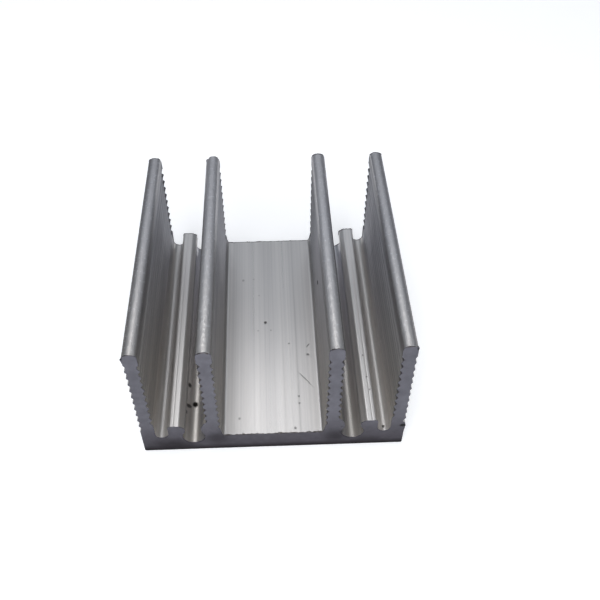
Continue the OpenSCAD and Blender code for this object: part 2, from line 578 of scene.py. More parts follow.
@dataclass
class HeatSinkBody:
    """The extrusion itself: the section carried along Y between two sawn ends."""

    section: Section
    length: float
    edge_break: float = 0.08
    tip_break: float = 1.4
    burr: float = 0.1
    seed: int = 7
    break_steps: int = 4
    beads: Pair = (0.8, 0.45)
    bead_focus: float = 3.0
    broken: Scatter = Scatter(1.0, 0.9, 0.4, 1.6, 9)
    toothed: Scatter = Scatter(1.3, 0.8, 0.4, 2.4, 3)
    dragged: Scatter = Scatter(0.35, 1.3, 0.0, 1.2, 7)
    # Painted shade at the back end, left and right: channel faces, inner fins' shoulders, outer fins'
    # shoulders
    channel_back_shade: Pair = (0.17, 0.5)
    inner_back_shade: Pair = (0.2, 0.45)
    outer_back_shade: Pair = (0.2, 0.65)
    # Painted light and shade: lighter right rib and outer fins' feet, darker tips' shoulders and outer tips
    rib_gain: Pair = (-0.03, 0.16)
    foot_gain: float = 0.38
    foot_run: float = 1.5
    away_fade: float = 3.0
    near_fade: float = 0.15
    leftmost_fade: float = 0.4
    outermost_fade: float = 0.1
    dents: tuple[Dent, ...] = ()
    ring_gaps: tuple[float, ...] = (0.12,) * 8 + (0.2,) * 4 + (0.5, 1.0, 2.0, 3.0, 4.0, 4.0)
    name: str = "heat_sink_metal"
    outline: np.ndarray = field(init=False)
    stretch: np.ndarray = field(init=False)

    def __post_init__(self) -> None:
        """Works the outline out once."""
        self.outline, self.stretch = self.section.outline()

    def inward(self) -> np.ndarray:
        """Unit vectors into the metal at each point: the chord across it, turned left."""
        chord = np.roll(self.outline, -1, axis=0) - np.roll(self.outline, 1, axis=0)
        left = np.stack([-chord[:, 1], chord[:, 0]], axis=1)
        return left / np.linalg.norm(left, axis=1)[:, None]

    def ragged(self, seed: int) -> np.ndarray:
        """How much the saw broke each point of an edge, as a share of the edge break.

        The channel floor's edge is toothed: fewer random values are smoothed there, and
        the share is larger. The tips' edges are broken more. Where the outline turns
        within less room than that, as on the crests, the share is held under the room.

        Args:
            seed: Seed of the random values.

        Returns:
            One share per point of the outline.
        """
        draw = np.random.default_rng(seed).normal(size=len(self.outline))
        share = self.scattered(draw, self.broken)
        share = share + (self.scattered(draw, self.toothed) - share) * self.share_of(Stretch.FLOOR)
        share = share * (1 + (self.tip_break - 1) * self.share_of(Stretch.TIP))
        return share * np.minimum(1, self.room() / self.edge_break)

    def torn(self, seed: int) -> np.ndarray:
        """Height of the burr at each point of the outline, as a share of the burr.

        Away from the serrated faces it is a random share. On them each crest carries a
        bead, which is larger on the left fins than on the right outer one, and the right
        inner fin has none. The underside has no burr.

        Args:
            seed: Seed of the random values.

        Returns:
            One share per point of the outline, as a single row.
        """
        draw = np.random.default_rng(seed + 50).normal(size=len(self.outline))
        share = self.scattered(draw, self.dragged)
        serrated = self.share_of(*SERRATED)
        groove = self.section.groove(self.outline, self.stretch)
        crest = serrated * np.clip(1 - groove * self.bead_focus, 0, 1)
        across, underside = self.outline[:, 0], self.outline[:, 1] < 0.5
        bead = np.select([across < 0, across > self.section.channel_w], self.beads, 0)
        return ((share * (1 - serrated) + crest * bead) * ~underside)[None, :]

    def scattered(self, draw: np.ndarray, scatter: Scatter) -> np.ndarray:
        """The middle plus the swing times a running mean of the draw, held between the limits."""
        share = scatter.middle + self.smoothed(draw, scatter.span) * scatter.swing
        return np.clip(share, scatter.low, scatter.high)

    @staticmethod
    def smoothed(values: np.ndarray, span: int) -> np.ndarray:
        """Running mean of values over an odd span of points of a closed outline."""
        half = span // 2
        wrapped = np.concatenate([values[-half:], values, values[:half]])
        return np.convolve(wrapped, np.ones(span) / span, mode="valid")

    def room(self) -> np.ndarray:
        """How far each point can be drawn into the metal before its neighbours meet.

        At an outward turn the room is the mean length of the two edges beside the
        point over the angle between them, which is the radius of the turn. The least
        radius of the nearest points counts, with a safe share of it taken.

        Returns:
            One distance per point of the outline.
        """
        edge = np.roll(self.outline, -1, axis=0) - self.outline
        before = np.roll(edge, 1, axis=0)
        cross = before[:, 0] * edge[:, 1] - before[:, 1] * edge[:, 0]
        turn = np.arctan2(cross, (before * edge).sum(axis=1))
        span = (np.linalg.norm(edge, axis=1) + np.linalg.norm(before, axis=1)) / 2
        radius = np.where(turn > 0.02, span / np.maximum(turn, 0.02), 1.0)
        beside = np.stack([np.roll(radius, shift) for shift in range(-4, 5)])
        return self.smoothed(beside.min(axis=0), 7) * 0.45

    def rings(self) -> np.ndarray:
        """The outline's rings from the front end to the back one.

        Near an end the outline is drawn in along a quarter ellipse: at the angle t the
        inset is (1 - sin t) and the distance from the end (1 - cos t) times the
        ragged edge break. At the back end, where the saw came out, a torn burr stands
        out of that by the sine of 2 t. Between the ends the gaps grow towards the middle.

        Returns:
            An array of rings by points by (x, y, z), in millimetres.
        """
        flat = np.stack([self.outline[:, 0], np.zeros(len(self.outline)), self.outline[:, 1]], axis=1)
        inward = self.inward()
        inward = np.stack([inward[:, 0], np.zeros(len(inward)), inward[:, 1]], axis=1)
        t = np.linspace(0, math.pi / 2, self.break_steps)[:, None]
        ends = []
        for side, seed in ((-1, self.seed), (1, self.seed + 1)):
            reach = self.edge_break * self.ragged(seed)[None, :]
            inset = (1 - np.sin(t)) * reach
            depth = (1 - np.cos(t)) * reach
            if side > 0:
                inset = inset - np.sin(2 * t) * self.torn(seed) * self.burr
            near = flat[None] + inset[..., None] * inward[None]
            near[..., 1] = side * (self.length / 2 - depth)
            ends.append(near)
        steps = np.cumsum(self.ring_gaps)
        front_y = -self.length / 2 + steps
        middle = np.concatenate([front_y, -front_y[::-1]])
        straight = np.repeat(flat[None], len(middle), axis=0)
        straight[..., 1] = middle[:, None]
        rings = np.concatenate([ends[0], straight, ends[1][::-1]])
        return rings + sum(dent.moved(rings) for dent in self.dents)

    def zones(self, quads: int) -> np.ndarray:
        """Which finish each face has: skin, the broken edges, and the two ends last.

        Args:
            quads: Number of quads round the skin and the broken edges.

        Returns:
            One material index per face.
        """
        zones = np.full(quads + 2, Zone.SKIN.value, dtype=np.int32)
        bands = zones[:quads].reshape(-1, len(self.outline))
        upward = self.inward()[:, 1] < -0.8
        # The upward front edges of the tips and the floor take the burr finish, whose dark colour there is
        # painted shade
        burr_and_shade_edges = np.isin(self.stretch, [Stretch.TIP.value, Stretch.FLOOR.value]) & upward
        bands[: self.break_steps - 1] = np.where(burr_and_shade_edges, Zone.BURR.value, Zone.SAWN.value)
        serrated = np.isin(self.stretch, [kind.value for kind in SERRATED])
        bands[1 - self.break_steps :] = np.where(serrated, Zone.SAWN.value, Zone.BURR.value)
        zones[quads:] = Zone.SAWN.value
        return zones

    def build(self, finishes: dict[Zone, bpy.types.Material]) -> bpy.types.Object:
        """Makes the closed mesh: a grid of quads round the skin and one face at each end.

        Args:
            finishes: The material of each zone.

        Returns:
            The object, at the origin, in metres.
        """
        rings = self.rings()
        count, around = rings.shape[:2]
        index = np.arange(count * around).reshape(count, around)
        here, ahead = index[:-1], index[1:]
        quads = np.stack([here, ahead, np.roll(ahead, -1, axis=1), np.roll(here, -1, axis=1)], axis=-1)
        faces = quads.reshape(-1, 4).tolist() + [index[0].tolist(), index[-1][::-1].tolist()]
        mesh = bpy.data.meshes.new(self.name)
        mesh.from_pydata((rings.reshape(-1, 3) * MM).tolist(), [], faces)
        mesh.polygons.foreach_set("material_index", self.zones(len(faces) - 2))
        smooth = np.ones(len(faces), dtype=bool)
        smooth[-2:] = False
        mesh.polygons.foreach_set("use_smooth", smooth)
        self.add_coordinates(mesh, rings)
        for name, values in self.attributes().items():
            layer = mesh.attributes.new(name, "FLOAT", "POINT")
            layer.data.foreach_set("value", np.tile(values, count).astype(np.float32))
        for zone in Zone:
            mesh.materials.append(finishes[zone])
        mesh.validate()
        mesh.update()
        body = bpy.data.objects.new(self.name, mesh)
        bpy.context.scene.collection.objects.link(body)
        return body

    def attributes(self) -> dict[str, np.ndarray]:
        """What the finishes read from the mesh.

        Returns:
            For each attribute's name, one value per point of the outline.
        """
        return {
            "groove": self.section.groove(self.outline, self.stretch),
            "shade": self.shades(),
            "dullness": self.toned("roughness"),
            "tip": self.share_of(Stretch.TIP),
            "fin": self.share_of(Stretch.BAY_FACE, Stretch.CHANNEL_FACE),
            "tarnish": self.tarnish(),
            "bay": self.share_of(Stretch.BAY_FACE),
            "slot": self.share_of(Stretch.SLOT),
            "lee": self.lee(),
            "channel_floor": self.share_of(Stretch.FLOOR),
        }

    def toned(self, side: str) -> np.ndarray:
        """One side of the tone of each point's part of the section, eased over a few points."""
        table = np.array([getattr(TONES[kind], side) for kind in Stretch])
        return self.smoothed(table[self.stretch], 7)

    def lee(self) -> np.ndarray:
        """1 on each slot's half under the inner fin's lip and 0 elsewhere, eased over 1 mm."""
        inward = self.section.slot_pitch / 2 - np.abs(self.outline[:, 0])
        return self.share_of(Stretch.SLOT) * np.clip(inward - 0.2, 0, 1)

    def tarnish(self) -> np.ndarray:
        """How much more painted shade each point takes at the back end than at the front.

        The channel's faces have a value each, and a tip's shoulders take part by the
        third power of the lean of their surface.

        Returns:
            One share per point of the outline.
        """
        left, inner = self.outline[:, 0] < 0, np.abs(self.outline[:, 0]) < self.section.channel_w
        channel, inmost, outmost = (
            np.where(left, *pair) for pair in (self.channel_back_shade, self.inner_back_shade, self.outer_back_shade)
        )
        shoulder = self.share_of(Stretch.TIP) * (1 + np.clip(self.inward()[:, 1], -1, 0)) ** 3
        return self.share_of(Stretch.CHANNEL_FACE) * channel + shoulder * np.where(inner, inmost, outmost)

    def shades(self) -> np.ndarray:
        """Shade of each point's finish.

        It is that of its part of the section, with painted light and shade on it. A
        tip's shoulder that looks away from the middle is painted darker, by a factor
        times the squared lean times what is left of it, and the other one by a share of
        the lean. The outer fins' tips are painted darker altogether, the left one most
        on its outer side. The outer fins' plain feet and the right rib are painted
        lighter, and the left rib slightly darker.

        Returns:
            One shade per point of the outline.
        """
        tip, rib = self.share_of(Stretch.TIP), self.share_of(Stretch.RIB)
        across, inward = self.outline[:, 0], self.inward()
        lean = 1 + np.clip(inward[:, 1], -1, 0)
        outermost = np.abs(across) > self.section.channel_w
        plain = self.section.base_t + self.section.slot_side_plain
        foot = self.share_of(Stretch.BAY_FACE) * outermost
        foot = foot * np.clip((plain - self.outline[:, 1]) / self.foot_run, 0, 1)
        side = np.where(across > 0, self.rib_gain[1], self.rib_gain[0])
        away = -inward[:, 0] * np.sign(across)
        shoulder = np.where(away > 0, -self.away_fade * lean**2 * (1 - lean), -self.near_fade * lean)
        shoulder = shoulder - self.leftmost_fade * np.clip(away, 0, 1) * (outermost & (across < 0))
        shade = self.toned("shade") * (1 + tip * (shoulder - self.outermost_fade * outermost))
        return shade * (1 + self.foot_gain * foot + side * rib)

    def share_of(self, *kinds: Stretch) -> np.ndarray:
        """1 on these parts of the section and 0 elsewhere, eased over a few points."""
        return self.smoothed(np.isin(self.stretch, [kind.value for kind in kinds]).astype(float), 5)

    def add_coordinates(self, mesh: bpy.types.Mesh, rings: np.ndarray) -> None:
        """Gives the skin a UV map whose U follows the outline and whose V follows the length.

        U is the distance round the outline and V the distance along Y, both as a share
        of 100 mm, so the tangent lies across the die lines everywhere.

        Args:
            mesh: The mesh to add the map to.
            rings: Its rings, in millimetres.
        """
        layer = mesh.uv_layers.new(name=UV_MAP)
        step = np.linalg.norm(np.diff(self.outline, axis=0, append=self.outline[:1]), axis=1)
        round_it = np.concatenate([[0], np.cumsum(step)])[:-1] / 100
        along = rings[..., 1] / 100
        uv = np.stack([np.broadcast_to(round_it, along.shape), along], axis=-1).reshape(-1, 2)
        corner = np.zeros(len(mesh.loops), dtype=np.int32)
        mesh.loops.foreach_get("vertex_index", corner)
        layer.data.foreach_set("uv", uv[corner].ravel())


@dataclass(frozen=True)
class Mark:
    """A speck, pit or scratch in millimetres: middle, reach along each axis, turn about Z in degrees."""

    place: Triple
    reach: Triple
    strength: float = 0.8
    turn: float = 0.0
    core: float = 0.45


@dataclass(frozen=True)
class DieLine:
    """A fixed line along the channel floor: its X and half width in millimetres, and how dark it is."""

    place: float
    reach: float
    depth: float


@dataclass(frozen=True)
class Grain:
    """A noise: its scale per metre, detail and roughness, and the stretch and shift of each axis."""

    scale: float
    detail: float
    rough: float = 0.5
    stretch: Triple = (1, 1, 1)
    shift: Triple = (0, 0, 0)


@dataclass(frozen=True)
class Ramp:
    """A passage between two levels: where it starts and stops, and the levels before and after it."""

    start: float
    stop: float
    before: float = 0.0
    after: float = 1.0
    smooth: bool = True


def speck(x: float, y: float, size: float, strength: float, z: float = FLOOR_LEVEL) -> Mark:
    """A round speck of this size across, on the channel floor unless its height is given."""
    return Mark((x, y, z), (size * 0.7, size * 0.8, size * 0.7), strength)


def front_patch(x: float, z: float, across: float, up: float, strength: float, core: float, depth: float) -> Mark:
    """A dark patch on the sawn front end, with its reach across, up and into the metal."""
    return Mark((x, FRONT, z), (across, depth, up), strength, core=core)


class Graph:
    """A material's node tree, with short calls for what the finishes share."""

    def __init__(self, name: str) -> None:
        """Makes an empty material of this name."""
        self.material = bpy.data.materials.new(name)
        self.material.use_nodes = True
        self.tree = self.material.node_tree
        self.tree.nodes.clear()

    def node(self, kind: str, **settings: object) -> bpy.types.Node:
        """Adds a node of this kind and sets its properties."""
        made = self.tree.nodes.new(kind)
        for key, value in settings.items():
            setattr(made, key, value)
        return made

    def feed(self, target: Socket, source: object) -> None:
        """Links a socket to another one, or gives it a value."""
        if isinstance(source, Socket):
            self.tree.links.new(source, target)
        else:
            target.default_value = source

    def math(self, operation: str, first: object, second: object = 0.0, third: object = 0.0) -> Socket:
        """A Math node's result."""
        made = self.node("ShaderNodeMath", operation=operation)
        for socket, source in zip(made.inputs, (first, second, third)):
            self.feed(socket, source)
        return made.outputs[0]

    def chain(self, operation: str, values: tuple[object, ...]) -> Socket:
        """A Math operation on the first two values, then on its result and the next one, to the last."""
        result = values[0]
        for value in values[1:]:
            result = self.math(operation, result, value)
        return result

    def product(self, *values: object) -> Socket:
        """The product of values."""
        return self.chain("MULTIPLY", values)

    def total(self, *values: object) -> Socket:
        """The sum of values."""
        return self.chain("ADD", values)

    def greatest(self, *values: object) -> Socket:
        """The greatest of values."""
        return self.chain("MAXIMUM", values)

    def less(self, first: object, second: object) -> Socket:
        """The first value less the second."""
        return self.math("SUBTRACT", first, second)

    def plus(self, value: object, gain: object, onto: object) -> Socket:
        """A value times a gain, added onto another."""
        return self.math("MULTIPLY_ADD", value, gain, onto)

    def vector(self, operation: str, *operands: object) -> bpy.types.Node:
        """A Vector Math node."""
        made = self.node("ShaderNodeVectorMath", operation=operation)
        for socket, source in zip(made.inputs, operands):
            self.feed(socket, source)
        return made

    def place(self) -> Socket:
        """Object coordinates, in metres in the part's own frame."""
        return self.node("ShaderNodeTexCoord").outputs["Object"]

    def axes(self) -> list[Socket]:
        """X, Y and Z of the place, in metres."""
        split = self.node("ShaderNodeSeparateXYZ")
        self.feed(split.inputs[0], self.place())
        return list(split.outputs)

    def attribute(self, name: str) -> Socket:
        """The mesh's own float attribute of this name."""
        return self.node("ShaderNodeAttribute", attribute_name=name).outputs["Fac"]

    def noise(self, grain: Grain) -> Socket:
        """A noise texture's value, on Object coordinates times the stretch plus the shift."""
        mapped = self.node("ShaderNodeMapping")
        self.feed(mapped.inputs["Vector"], self.place())
        mapped.inputs["Scale"].default_value = grain.stretch
        mapped.inputs["Location"].default_value = grain.shift
        made = self.node("ShaderNodeTexNoise")
        self.feed(made.inputs["Vector"], mapped.outputs[0])
        for name, value in (("Scale", grain.scale), ("Detail", grain.detail), ("Roughness", grain.rough)):
            made.inputs[name].default_value = value
        return made.outputs["Fac"]

    def remap(self, value: object, ramp: Ramp, unit: float = 1.0) -> Socket:
        """A value taken along a ramp and held at its levels; the unit is that of its start and stop."""
        made = self.node("ShaderNodeMapRange", clamp=True)
        if ramp.smooth:
            made.interpolation_type = "SMOOTHSTEP"
        self.feed(made.inputs["Value"], value)
        ends = (("From Min", ramp.start * unit), ("From Max", ramp.stop * unit))
        for name, number in ends + (("To Min", ramp.before), ("To Max", ramp.after)):
            made.inputs[name].default_value = number
        return made.outputs["Result"]

    def mix(self, share: object, first: object, second: object, blend: str = "MIX") -> Socket:
        """Two colours mixed by a share."""
        made = self.node("ShaderNodeMix", data_type="RGBA", blend_type=blend)
        self.feed(made.inputs["Factor"], share)
        self.feed(made.inputs[6], first)
        self.feed(made.inputs[7], second)
        return made.outputs[2]

    def shaded(self, colour: object, shade: object) -> Socket:
        """A colour times a grey shade."""
        grey = self.node("ShaderNodeCombineXYZ")
        for socket in grey.inputs:
            self.feed(socket, shade)
        return self.mix(1.0, colour, grey.outputs[0], "MULTIPLY")

    def bump(self, height: Socket, relief: Pair, onto: object = None) -> Socket:
        """A Bump node's normal; the relief is its strength and its distance in millimetres."""
        made = self.node("ShaderNodeBump")
        made.inputs["Strength"].default_value = relief[0]
        made.inputs["Distance"].default_value = relief[1] * MM
        self.feed(made.inputs["Height"], height)
        if onto is not None:
            self.feed(made.inputs["Normal"], onto)
        return made.outputs[0]

    def frayed(self, amount: float, scale: float) -> Socket:
        """Object coordinates pushed about by a noise, by up to half the amount in millimetres."""
        grain = self.node("ShaderNodeTexNoise")
        self.feed(grain.inputs["Vector"], self.place())
        grain.inputs["Scale"].default_value = scale
        pushed = self.vector("SUBTRACT", grain.outputs["Color"], (0.5, 0.5, 0.5)).outputs[0]
        return self.vector("MULTIPLY_ADD", pushed, (amount * MM,) * 3, self.place()).outputs[0]

    def marks(self, marks: tuple[Mark, ...], where: Socket) -> Socket:
        """How deep in a mark each point lies, from 0 outside all of them to a mark's strength.

        A mark is an ellipsoid: its share is taken from the length of the place, moved,
        turned and scaled into the ellipsoid's own frame.

        Args:
            marks: The marks, in millimetres.
            where: Coordinates in metres.

        Returns:
            The greatest share at each point.
        """
        shares = []
        for mark in marks:
            own = self.node("ShaderNodeMapping", vector_type="TEXTURE")
            self.feed(own.inputs["Vector"], where)
            own.inputs["Location"].default_value = tuple(Vector(mark.place) * MM)
            own.inputs["Rotation"].default_value = (0, 0, math.radians(mark.turn))
            own.inputs["Scale"].default_value = tuple(Vector(mark.reach) * MM)
            off = self.vector("LENGTH", own.outputs[0]).outputs["Value"]
            shares.append(self.remap(off, Ramp(mark.core, 1, mark.strength, 0)))
        return self.greatest(*shares)

    def finish(self, shader: bpy.types.Node) -> bpy.types.Material:
        """Sends a shader to the output and hands the material over."""
        output = self.node("ShaderNodeOutputMaterial")
        self.tree.links.new(shader.outputs[0], output.inputs["Surface"])
        return self.material

    def metal(self, sockets: dict[str, object]) -> bpy.types.Material:
        """Feeds a metal shader's sockets by their names and hands the material over."""
        shader = self.node("ShaderNodeBsdfPrincipled")
        for name, source in sockets.items():
            self.feed(shader.inputs[name], source)
        return self.finish(shader)


@dataclass(frozen=True)
class MillFinish:
    """Extruded aluminium as it leaves the die: satin, with fine lines along the extrusion.

    Ramps that are along an axis have their start and stop in millimetres.
    """

    colour: Colour = (0.72, 0.693, 0.665, 1)
    line_colour: Colour = (0.59, 0.57, 0.552, 1)
    mark_colour: Colour = (0.02, 0.018, 0.015, 1)
    bare_and_glint_colour: Colour = (0.95, 0.95, 0.95, 1)
    edge_tint: Colour = (0.4, 0.41, 0.43, 1)
    anisotropy: float = 0.6
    metallic: float = 0.84
    # Lines along the extrusion: a broad and a fine grain, added by their shares
    broad: Grain = Grain(350, 3, 0.6, (1, 0.006, 1))
    fine: Grain = Grain(2200, 3, 0.65, (1, 0.004, 1), (0.3, 0.1, 0.2))
    line_shares: Pair = (0.55, 0.45)
    line_span: Ramp = Ramp(0.38, 0.62, smooth=False)
    line_roughness: Ramp = Ramp(0.3, 0.7, -0.03, 0.03, smooth=False)
    line_relief: Pair = (0.12, 0.04)
    # Die lines on the channel floor, with their waver in millimetres
    waver: Grain = Grain(90, 1, stretch=(0.5, 1, 1))
    waver_reach: float = 0.1
    die_fade: Ramp = Ramp(2.0, 20.0, 1, 0.4, smooth=False)
    # Painted shade in the scallops, which is strongest at the front end
    groove_shade: Ramp = Ramp(0.3, 0.95, 0, 0.8)
    front_groove_shade: Ramp = Ramp(-22.2, -20.5, 1, 0.45)
    # Painted shade under the slots' lips near the front, and painted shade growing towards the back
    lee_shade: Ramp = Ramp(-19.0, -8.0, -0.4, 0)
    back_fade: Ramp = Ramp(-4.0, 18.0)
    bay_fade: Ramp = Ramp(6.0, 19.0, 0, 0.2)
    # Dark strip at the back end, whose ragged reach is in millimetres and longer on the fins
    end_dark: Ramp = Ramp(22.35, 22.75, 1, 0.4)
    ragged: Grain = Grain(900, 2)
    ragged_reach: float = 0.5
    fin_reach: float = 0.9
    # Painted glints, near-white specks in the tips' colour, and bumped mottling on the tips
    glint: Grain = Grain(2600, 1, stretch=(1, 0.8, 1), shift=(0.5, 0.2, 0.1))
    glint_span: Ramp = Ramp(0.6, 0.72, 0, 0.35, smooth=False)
    mottle: Grain = Grain(1700, 2, 0.6, (1, 0.6, 1))
    mottle_relief: Pair = (1.0, 0.07)
    # Painted reflection colour, warm in front and below, cool at the back and above: Y plus shares of Z, X
    # and the lee
    warm_tint: Colour = (1.02, 0.995, 0.955, 1)
    cool_tint: Colour = (0.965, 0.985, 1.06, 1)
    tint_span: Ramp = Ramp(-10.0, 24.0, smooth=False)
    tint_rise: float = 0.8
    tint_across: float = 0.2
    tint_lee: float = 45.0
    tip_tint: float = 0.6
    # Marks of use
    mark_fray: Pair = (0.22, 5000)
    mark_roughness: float = 0.3
    mark_relief: Pair = (0.6, 0.08)
    die_lines: tuple[DieLine, ...] = (
        DieLine(-7.6, 0.7, 0.10),
        DieLine(-6.7, 0.5, 0.07),
        DieLine(-5.2, 0.25, 0.05),
        DieLine(-4.4, 0.15, 0.03),
        DieLine(-3.0, 0.3, 0.09),
        DieLine(-2.0, 0.2, 0.07),
        DieLine(-1.0, 0.2, 0.06),
        DieLine(-0.3, 0.12, 0.04),
        DieLine(0.5, 0.2, 0.05),
        DieLine(1.55, 0.12, 0.03),
        DieLine(2.1, 0.4, 0.10),
        DieLine(3.3, 0.2, 0.04),
        DieLine(4.45, 0.28, 0.16),
        DieLine(5.35, 0.2, 0.04),
        DieLine(6.2, 0.22, 0.03),
        DieLine(7.0, 0.35, 0.03),
    )
    floor_marks: tuple[Mark, ...] = (
        speck(-0.9, 1.0, 0.5, 0.75),
        speck(6.4, -6.6, 0.42, 0.55),
        Mark((6.5, -4.6, FLOOR_LEVEL), (0.6, 0.13, 0.3), 0.6, 52),
        speck(3.15, -4.05, 0.34, 0.4),
        speck(-2.2, -0.9, 0.3, 0.3),
        speck(0.05, -0.85, 0.3, 0.3),
        speck(-4.95, 11.7, 0.45, 0.32),
        speck(-3.0, 11.9, 0.35, 0.3),
        speck(-2.0, 7.7, 0.3, 0.25),
        speck(4.45, -15.4, 0.3, 0.35),
        speck(4.45, -16.8, 0.3, 0.35),
        speck(3.6, -21.6, 0.4, 0.4),
        speck(-5.45, -19.45, 0.35, 0.3),
        Mark((5.78, -12.0, FLOOR_LEVEL), (2.75, 0.12, 0.3), 0.5, -53.5, 0.2),
    )
    other_marks: tuple[Mark, ...] = (
        speck(-8.3, -3.2, 0.5, 0.7, z=16.2),
        speck(8.3, 1.4, 0.8, 0.95, z=13.4),
        speck(-13.0, -15.1, 0.85, 1.0, z=2.0),
        speck(-14.05, -11.5, 0.75, 0.8, z=2.6),
        Mark((-14.0, -15.7, 2.5), (0.85, 0.5, 0.7), 0.75),
        speck(-14.3, -17.15, 0.62, 0.75, z=3.0),
        speck(17.75, -21.7, 0.45, 0.8, z=3.65),
        speck(15.5, -9.35, 0.3, 0.5, z=6.7),
        speck(15.7, -13.9, 0.3, 0.5, z=6.7),
        speck(15.9, -16.5, 0.3, 0.45, z=6.7),
        speck(-18.75, 6.3, 0.5, 0.6, z=2.6),
        speck(-18.75, -14.6, 0.4, 0.5, z=20.5),
        speck(-18.75, -11.55, 0.5, 0.5, z=14.6),
        Mark((20.8, -22.4, 24.5), (0.4, 0.4, 0.5), 0.8, core=0.3),
        Mark((-20.95, -22.4, 24.2), (0.35, 0.35, 0.6), 0.8, core=0.3),
    )

    def floor_dips(self, graph: Graph, across: Socket, along: Socket) -> Socket:
        """Shade of the channel floor's die lines: each line is a soft dip at its own X.

        The product of all dips is what they leave of the shade. It counts on the floor
        only, and less towards the back.

        Args:
            graph: The material's graph.
            across: X in metres.
            along: Y in metres.

        Returns:
            The share of the shade that is left.
        """
        waver = graph.product(graph.noise(self.waver), self.waver_reach * MM)
        across = graph.total(across, graph.less(waver, self.waver_reach * MM / 2))
        dips = []
        for line in self.die_lines:
            off = graph.math("ABSOLUTE", graph.less(across, line.place * MM))
            dips.append(graph.remap(off, Ramp(0, line.reach * MM, 1 - line.depth, 1)))
        fading = graph.product(graph.attribute("channel_floor"), graph.remap(along, self.die_fade, MM))
        return graph.total(graph.product(fading, graph.less(graph.product(*dips), 1)), 1)

    def shade(self, graph: Graph, across: Socket, along: Socket) -> Socket:
        """Shade of the metal: its part's own, less die lines and the dark back end, and less painted shade in
        the scallops, under the lips and towards the back.

        Args:
            graph: The material's graph.
            across: X in metres.
            along: Y in metres.

        Returns:
            The shade that the colour is multiplied by.
        """
        # Painted shade in the scallops, strongest at the front end
        notch_shade = graph.product(
            graph.remap(graph.attribute("groove"), self.groove_shade), graph.remap(along, self.front_groove_shade, MM)
        )
        lee = graph.plus(graph.attribute("lee"), graph.remap(along, self.lee_shade, MM), 1)
        # Painted shade growing towards the back
        fade = graph.product(graph.remap(along, self.back_fade, MM), graph.attribute("tarnish"))
        fade = graph.plus(graph.remap(along, self.bay_fade, MM), graph.attribute("bay"), fade)
        reach = graph.plus(graph.noise(self.ragged), self.ragged_reach * MM, along)
        reach = graph.plus(graph.attribute("fin"), self.fin_reach * MM, reach)
        return graph.product(
            graph.attribute("shade"),
            graph.less(1, notch_shade),
            self.floor_dips(graph, across, along),
            lee,
            graph.less(1, fade),
            graph.remap(reach, self.end_dark, MM),
        )

    def tinted(self, graph: Graph, tone: Socket, axes: list[Socket]) -> Socket:
        """A tone with the warm and cool tints of painted reflection on the fins, the slots and partly the
        tips.

        Args:
            graph: The material's graph.
            tone: The tone before the tints.
            axes: X, Y and Z in metres.

        Returns:
            The tinted tone.
        """
        across, along, up = axes
        reach = graph.plus(up, self.tint_rise, along)
        reach = graph.plus(across, self.tint_across, reach)
        reach = graph.plus(graph.attribute("lee"), self.tint_lee * MM, reach)
        tint = graph.mix(graph.remap(reach, self.tint_span, MM), self.warm_tint, self.cool_tint)
        faces = graph.total(graph.attribute("fin"), graph.attribute("slot"))
        share = graph.greatest(faces, graph.product(graph.attribute("tip"), self.tip_tint))
        return graph.mix(share, tone, tint, "MULTIPLY")

    def material(self) -> bpy.types.Material:
        """Builds the node material.

        Returns:
            The material.
        """
        graph = Graph("mill_finish_aluminium")
        tip, axes = graph.attribute("tip"), graph.axes()
        marks = graph.marks(self.floor_marks + self.other_marks, graph.frayed(*self.mark_fray))
        fine = graph.noise(self.fine)
        broad = graph.product(graph.noise(self.broad), self.line_shares[0])
        lines = graph.total(broad, graph.product(fine, self.line_shares[1]))
        tone = graph.mix(graph.remap(lines, self.line_span), self.line_colour, self.colour)
        tone = graph.shaded(tone, self.shade(graph, *axes[:2]))
        # Painted glints: near-white specks in the tips' colour
        glints = graph.remap(graph.noise(self.glint), self.glint_span)
        tone = graph.mix(graph.product(glints, tip), tone, self.bare_and_glint_colour)
        # Painted reflection tints, then the marks of use
        tone = graph.mix(marks, self.tinted(graph, tone, axes), self.mark_colour)
        rough = graph.total(graph.remap(fine, self.line_roughness), graph.attribute("dullness"))
        rough = graph.total(rough, graph.product(marks, self.mark_roughness))
        uneven = graph.bump(graph.product(graph.noise(self.mottle), tip), self.mottle_relief)
        pitted = graph.bump(graph.less(1, marks), self.mark_relief, uneven)
        tangent = graph.node("ShaderNodeTangent", direction_type="UV_MAP", uv_map=UV_MAP)
        return graph.metal({
            "Base Color": tone,
            "Metallic": self.metallic,
            "Specular Tint": self.edge_tint,
            "Roughness": rough,
            "Anisotropic": self.anisotropy,
            "Tangent": tangent.outputs[0],
            "Normal": graph.bump(lines, self.line_relief, pitted),
        })


